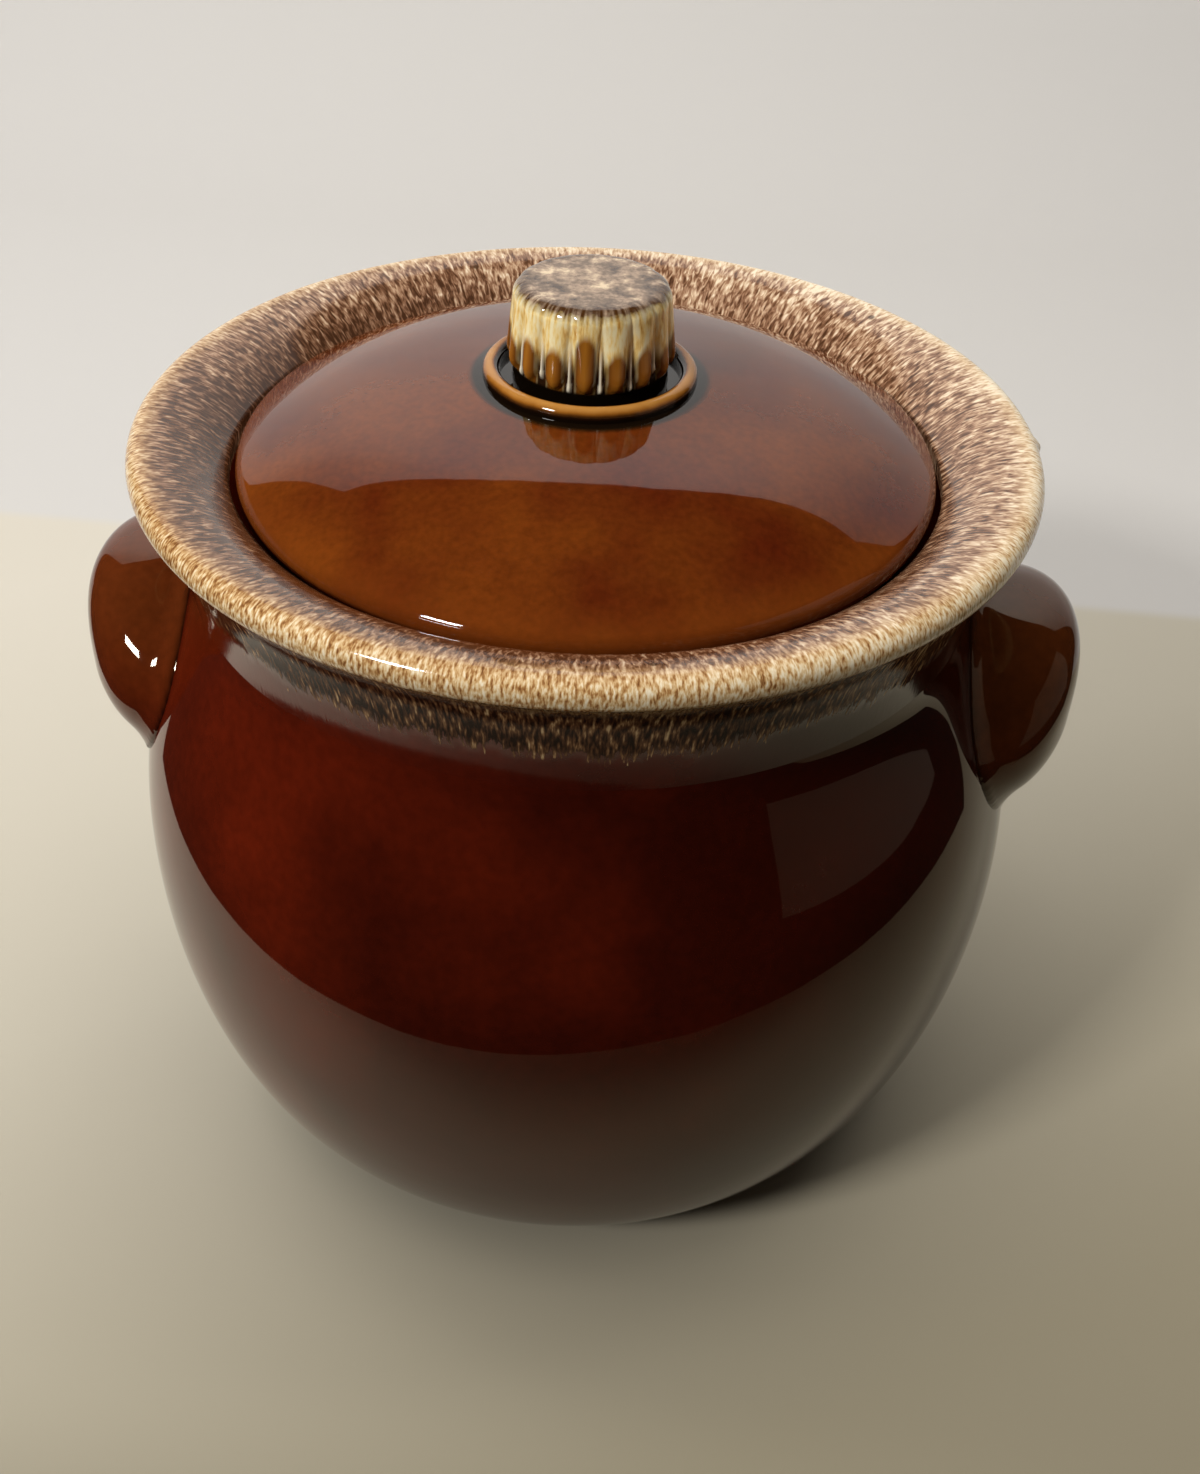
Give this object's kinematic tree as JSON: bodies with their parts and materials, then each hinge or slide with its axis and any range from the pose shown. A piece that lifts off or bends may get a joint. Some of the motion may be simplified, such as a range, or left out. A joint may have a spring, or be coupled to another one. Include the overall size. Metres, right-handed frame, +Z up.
{
  "type": "lidded cookie jar",
  "caption": "Round-bellied glazed stoneware jar with a flared rim, side lug handles and a lift-off domed lid with a ribbed knob, for keeping cookies.",
  "frame": {"origin": "centre of the foot, on the table", "axes": "+Z up along the pot's axis, +X towards the right handle as seen from the front, +Y towards the back"},
  "size_m": [0.2196, 0.198, 0.2037],
  "materials": {
    "brown_glaze": "glossy deep red-brown glaze",
    "amber_glaze": "glossy amber-brown glaze",
    "drip_glaze": "mottled cream drip glaze over brown",
    "bare_stoneware": "unglazed buff stoneware"
  },
  "bodies": {
    "jar": {"pot": "brown_glaze", "rim_collar": "drip_glaze", "foot_ring": "bare_stoneware", "left_handle": "brown_glaze", "right_handle": "brown_glaze"},
    "lid": {"lid_dome": "amber_glaze", "lid_flange": "amber_glaze", "knob_bead": "amber_glaze", "knob": "drip_glaze"}
  },
  "joints": [
    {"name": "lid_lift", "type": "slide", "parent": "jar", "child": "lid", "axis": [0, 0, 1], "range_m": [0, 0.15]}
  ]
}
